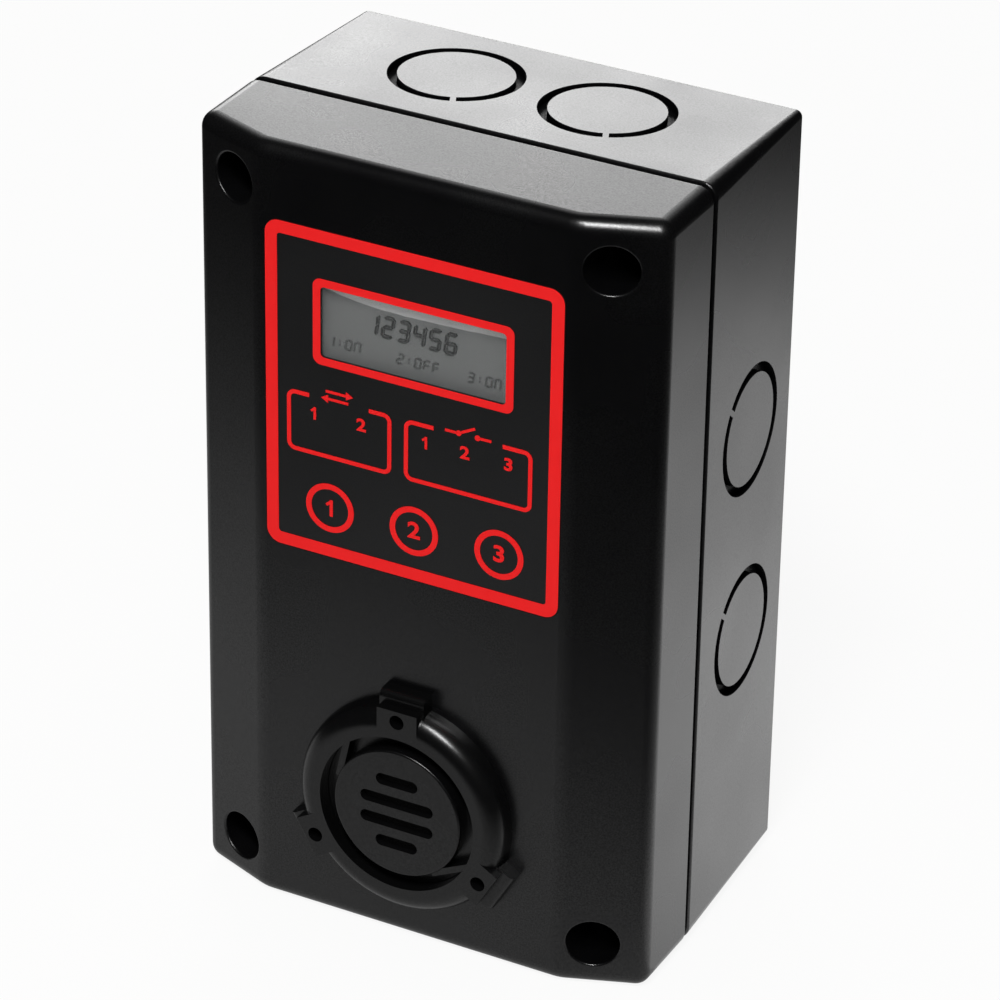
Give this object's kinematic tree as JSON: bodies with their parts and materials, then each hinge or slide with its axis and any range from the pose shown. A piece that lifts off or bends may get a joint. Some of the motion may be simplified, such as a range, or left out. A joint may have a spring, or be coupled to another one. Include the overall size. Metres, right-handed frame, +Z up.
{
  "type": "carbon monoxide sensor",
  "caption": "Wall-mounted carbon monoxide transmitter: two-part black box with conduit knockouts, a framed display and key film, and a round slotted sensor boss.",
  "frame": {"origin": "middle of the flat wall face of the base", "axes": "+X to the viewer's right, +Y back into the wall, +Z up; the front faces -Y"},
  "size_m": [0.104, 0.0756, 0.175],
  "materials": {
    "moulded_abs": "black moulded ABS with a fine satin grain",
    "overlay_film": "dark printed polyester film, fine matt texture",
    "overlay_ink": "red screen-printed ink",
    "window_pane": "clear polycarbonate pane",
    "display_glass": "reflective grey liquid crystal glass",
    "backlight": "white moulded light guide",
    "board": "green glass-epoxy circuit board with solder mask",
    "steel": "zinc plated steel",
    "brass": "turned brass",
    "gasket": "black silicone rubber",
    "filter_felt": "dark pressed felt",
    "cell_case": "pale moulded cell case with plated pins",
    "relay_case": "blue moulded relay case",
    "terminal_body": "green moulded polyamide",
    "component_body": "black moulded epoxy",
    "capacitor_sleeve": "dark shrink sleeve over a can",
    "coil": "copper wire wound on ferrite",
    "fuse_glass": "glass tube with plated caps",
    "ribbon": "grey vinyl ribbon cable",
    "led_lens": "diffused red epoxy",
    "key_cap": "black moulded acetal"
  },
  "bodies": {
    "enclosure": {"base": "moulded_abs", "cover": "moulded_abs", "seam_gasket": "gasket", "cover_screws": "steel", "screw_inserts": "brass", "front_overlay": "overlay_film", "overlay_print": "overlay_ink", "display_window": "window_pane", "display_glass": "display_glass", "display_backlight": "backlight", "display_board": "board", "display_board_screws": "steel", "display_plug": "component_body", "display_driver": "component_body", "sensor_housing": "moulded_abs", "sensor_cap": "moulded_abs", "dust_filter": "filter_felt", "cell_seal": "gasket", "sensor_cell": "cell_case", "cell_sockets": "brass", "housing_nut": "moulded_abs", "housing_seal": "gasket", "sensor_board": "board", "sensor_board_screws": "steel", "link_header": "component_body", "main_board": "board", "main_board_screws": "steel", "network_terminal": "terminal_body", "supply_terminal": "terminal_body", "terminal_screws": "steel", "power_converter": "component_body", "choke_coil": "coil", "fuse_clips": "brass", "glass_fuse": "fuse_glass", "processor": "component_body", "crystal": "steel", "main_header": "component_body", "ribbon_plug": "component_body", "ribbon_cable": "ribbon", "key_switch_1": "component_body", "relay_1": "relay_case", "relay_terminal_1": "terminal_body", "key_switch_2": "component_body", "relay_2": "relay_case", "relay_terminal_2": "terminal_body", "key_switch_3": "component_body", "relay_3": "relay_case", "relay_terminal_3": "terminal_body", "status_led_1": "led_lens", "status_led_2": "led_lens", "status_led_3": "led_lens", "status_led_4": "led_lens", "status_led_5": "led_lens", "storage_capacitor_1": "capacitor_sleeve", "storage_capacitor_2": "capacitor_sleeve"},
    "key_1": {"key_plunger_1": "key_cap"},
    "key_2": {"key_plunger_2": "key_cap"},
    "key_3": {"key_plunger_3": "key_cap"}
  },
  "joints": [
    {"name": "key_1_press", "type": "slide", "parent": "enclosure", "child": "key_1", "axis": [0, 1, 0], "range_m": [0, 0.00025], "stiffness_N_per_m": 6000},
    {"name": "key_2_press", "type": "slide", "parent": "enclosure", "child": "key_2", "axis": [0, 1, 0], "range_m": [0, 0.00025], "stiffness_N_per_m": 6000},
    {"name": "key_3_press", "type": "slide", "parent": "enclosure", "child": "key_3", "axis": [0, 1, 0], "range_m": [0, 0.00025], "stiffness_N_per_m": 6000}
  ]
}
